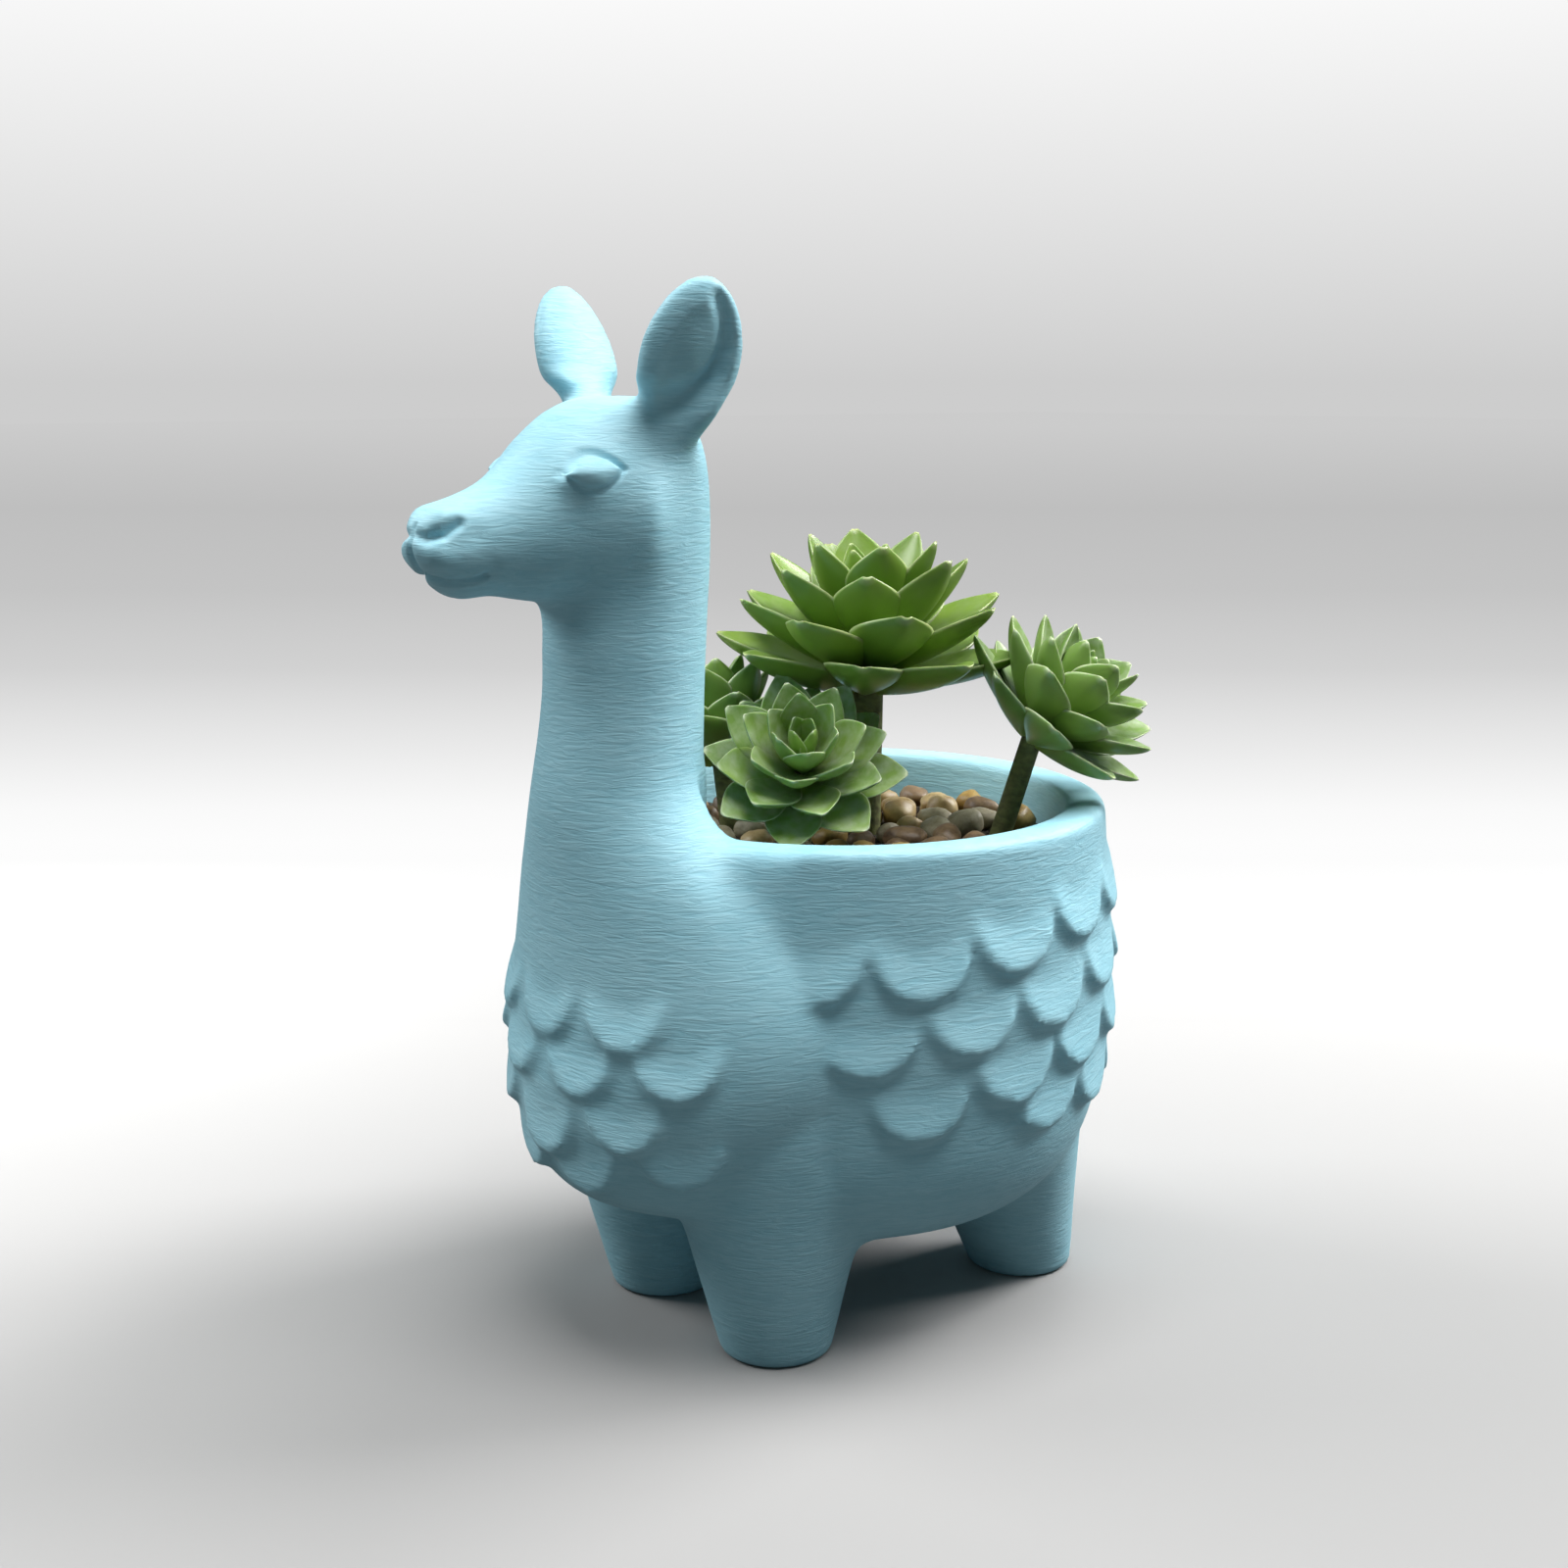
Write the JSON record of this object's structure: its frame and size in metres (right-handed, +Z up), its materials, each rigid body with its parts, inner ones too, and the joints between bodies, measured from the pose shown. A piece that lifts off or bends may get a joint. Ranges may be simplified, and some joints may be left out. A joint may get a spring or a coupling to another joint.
{
  "type": "animal shaped planter",
  "caption": "Printed llama planter with a scalloped fleece, its back an open round pot that holds soil, a pebble dressing and rosette succulents.",
  "frame": {"origin": "on the ground plane, at the middle of the bounding box seen from above", "axes": "+Z up; the llama faces -Y; its left side is +X"},
  "size_m": [0.1012, 0.1343, 0.1805],
  "materials": {
    "blue_print": "matte powder blue with fine level print lines",
    "soil": "dark crumbly earth",
    "tan_stone": "dry smooth pebble",
    "ochre_stone": "dry smooth pebble",
    "brown_stone": "dry smooth pebble",
    "grey_stone": "dry smooth pebble",
    "stem": "woody green stem",
    "leaf": "waxy fleshy leaf with a pale bloom and pale margin",
    "heart_leaf": "young waxy leaf, paler"
  },
  "bodies": {
    "planter": {"planter_body": "blue_print"},
    "planting": {"soil": "soil", "tan_pebbles": "tan_stone", "ochre_pebbles": "ochre_stone", "brown_pebbles": "brown_stone", "grey_pebbles": "grey_stone", "tall_succulent_stem": "stem", "tall_succulent_outer_leaves": "leaf", "tall_succulent_lower_leaves": "leaf", "tall_succulent_middle_leaves": "leaf", "tall_succulent_inner_leaves": "leaf", "tall_succulent_heart_leaves": "heart_leaf", "front_succulent_stem": "stem", "front_succulent_outer_leaves": "leaf", "front_succulent_lower_leaves": "leaf", "front_succulent_middle_leaves": "leaf", "front_succulent_inner_leaves": "leaf", "front_succulent_heart_leaves": "heart_leaf", "right_succulent_stem": "stem", "right_succulent_outer_leaves": "leaf", "right_succulent_lower_leaves": "leaf", "right_succulent_middle_leaves": "leaf", "right_succulent_inner_leaves": "leaf", "right_succulent_heart_leaves": "heart_leaf", "left_succulent_stem": "stem", "left_succulent_outer_leaves": "leaf", "left_succulent_lower_leaves": "leaf", "left_succulent_middle_leaves": "leaf", "left_succulent_inner_leaves": "leaf", "left_succulent_heart_leaves": "heart_leaf"}
  },
  "joints": [
    {"name": "planting_lift", "type": "slide", "parent": "planter", "child": "planting", "axis": [0, 0, 1], "range_m": [0, 0.065]}
  ]
}
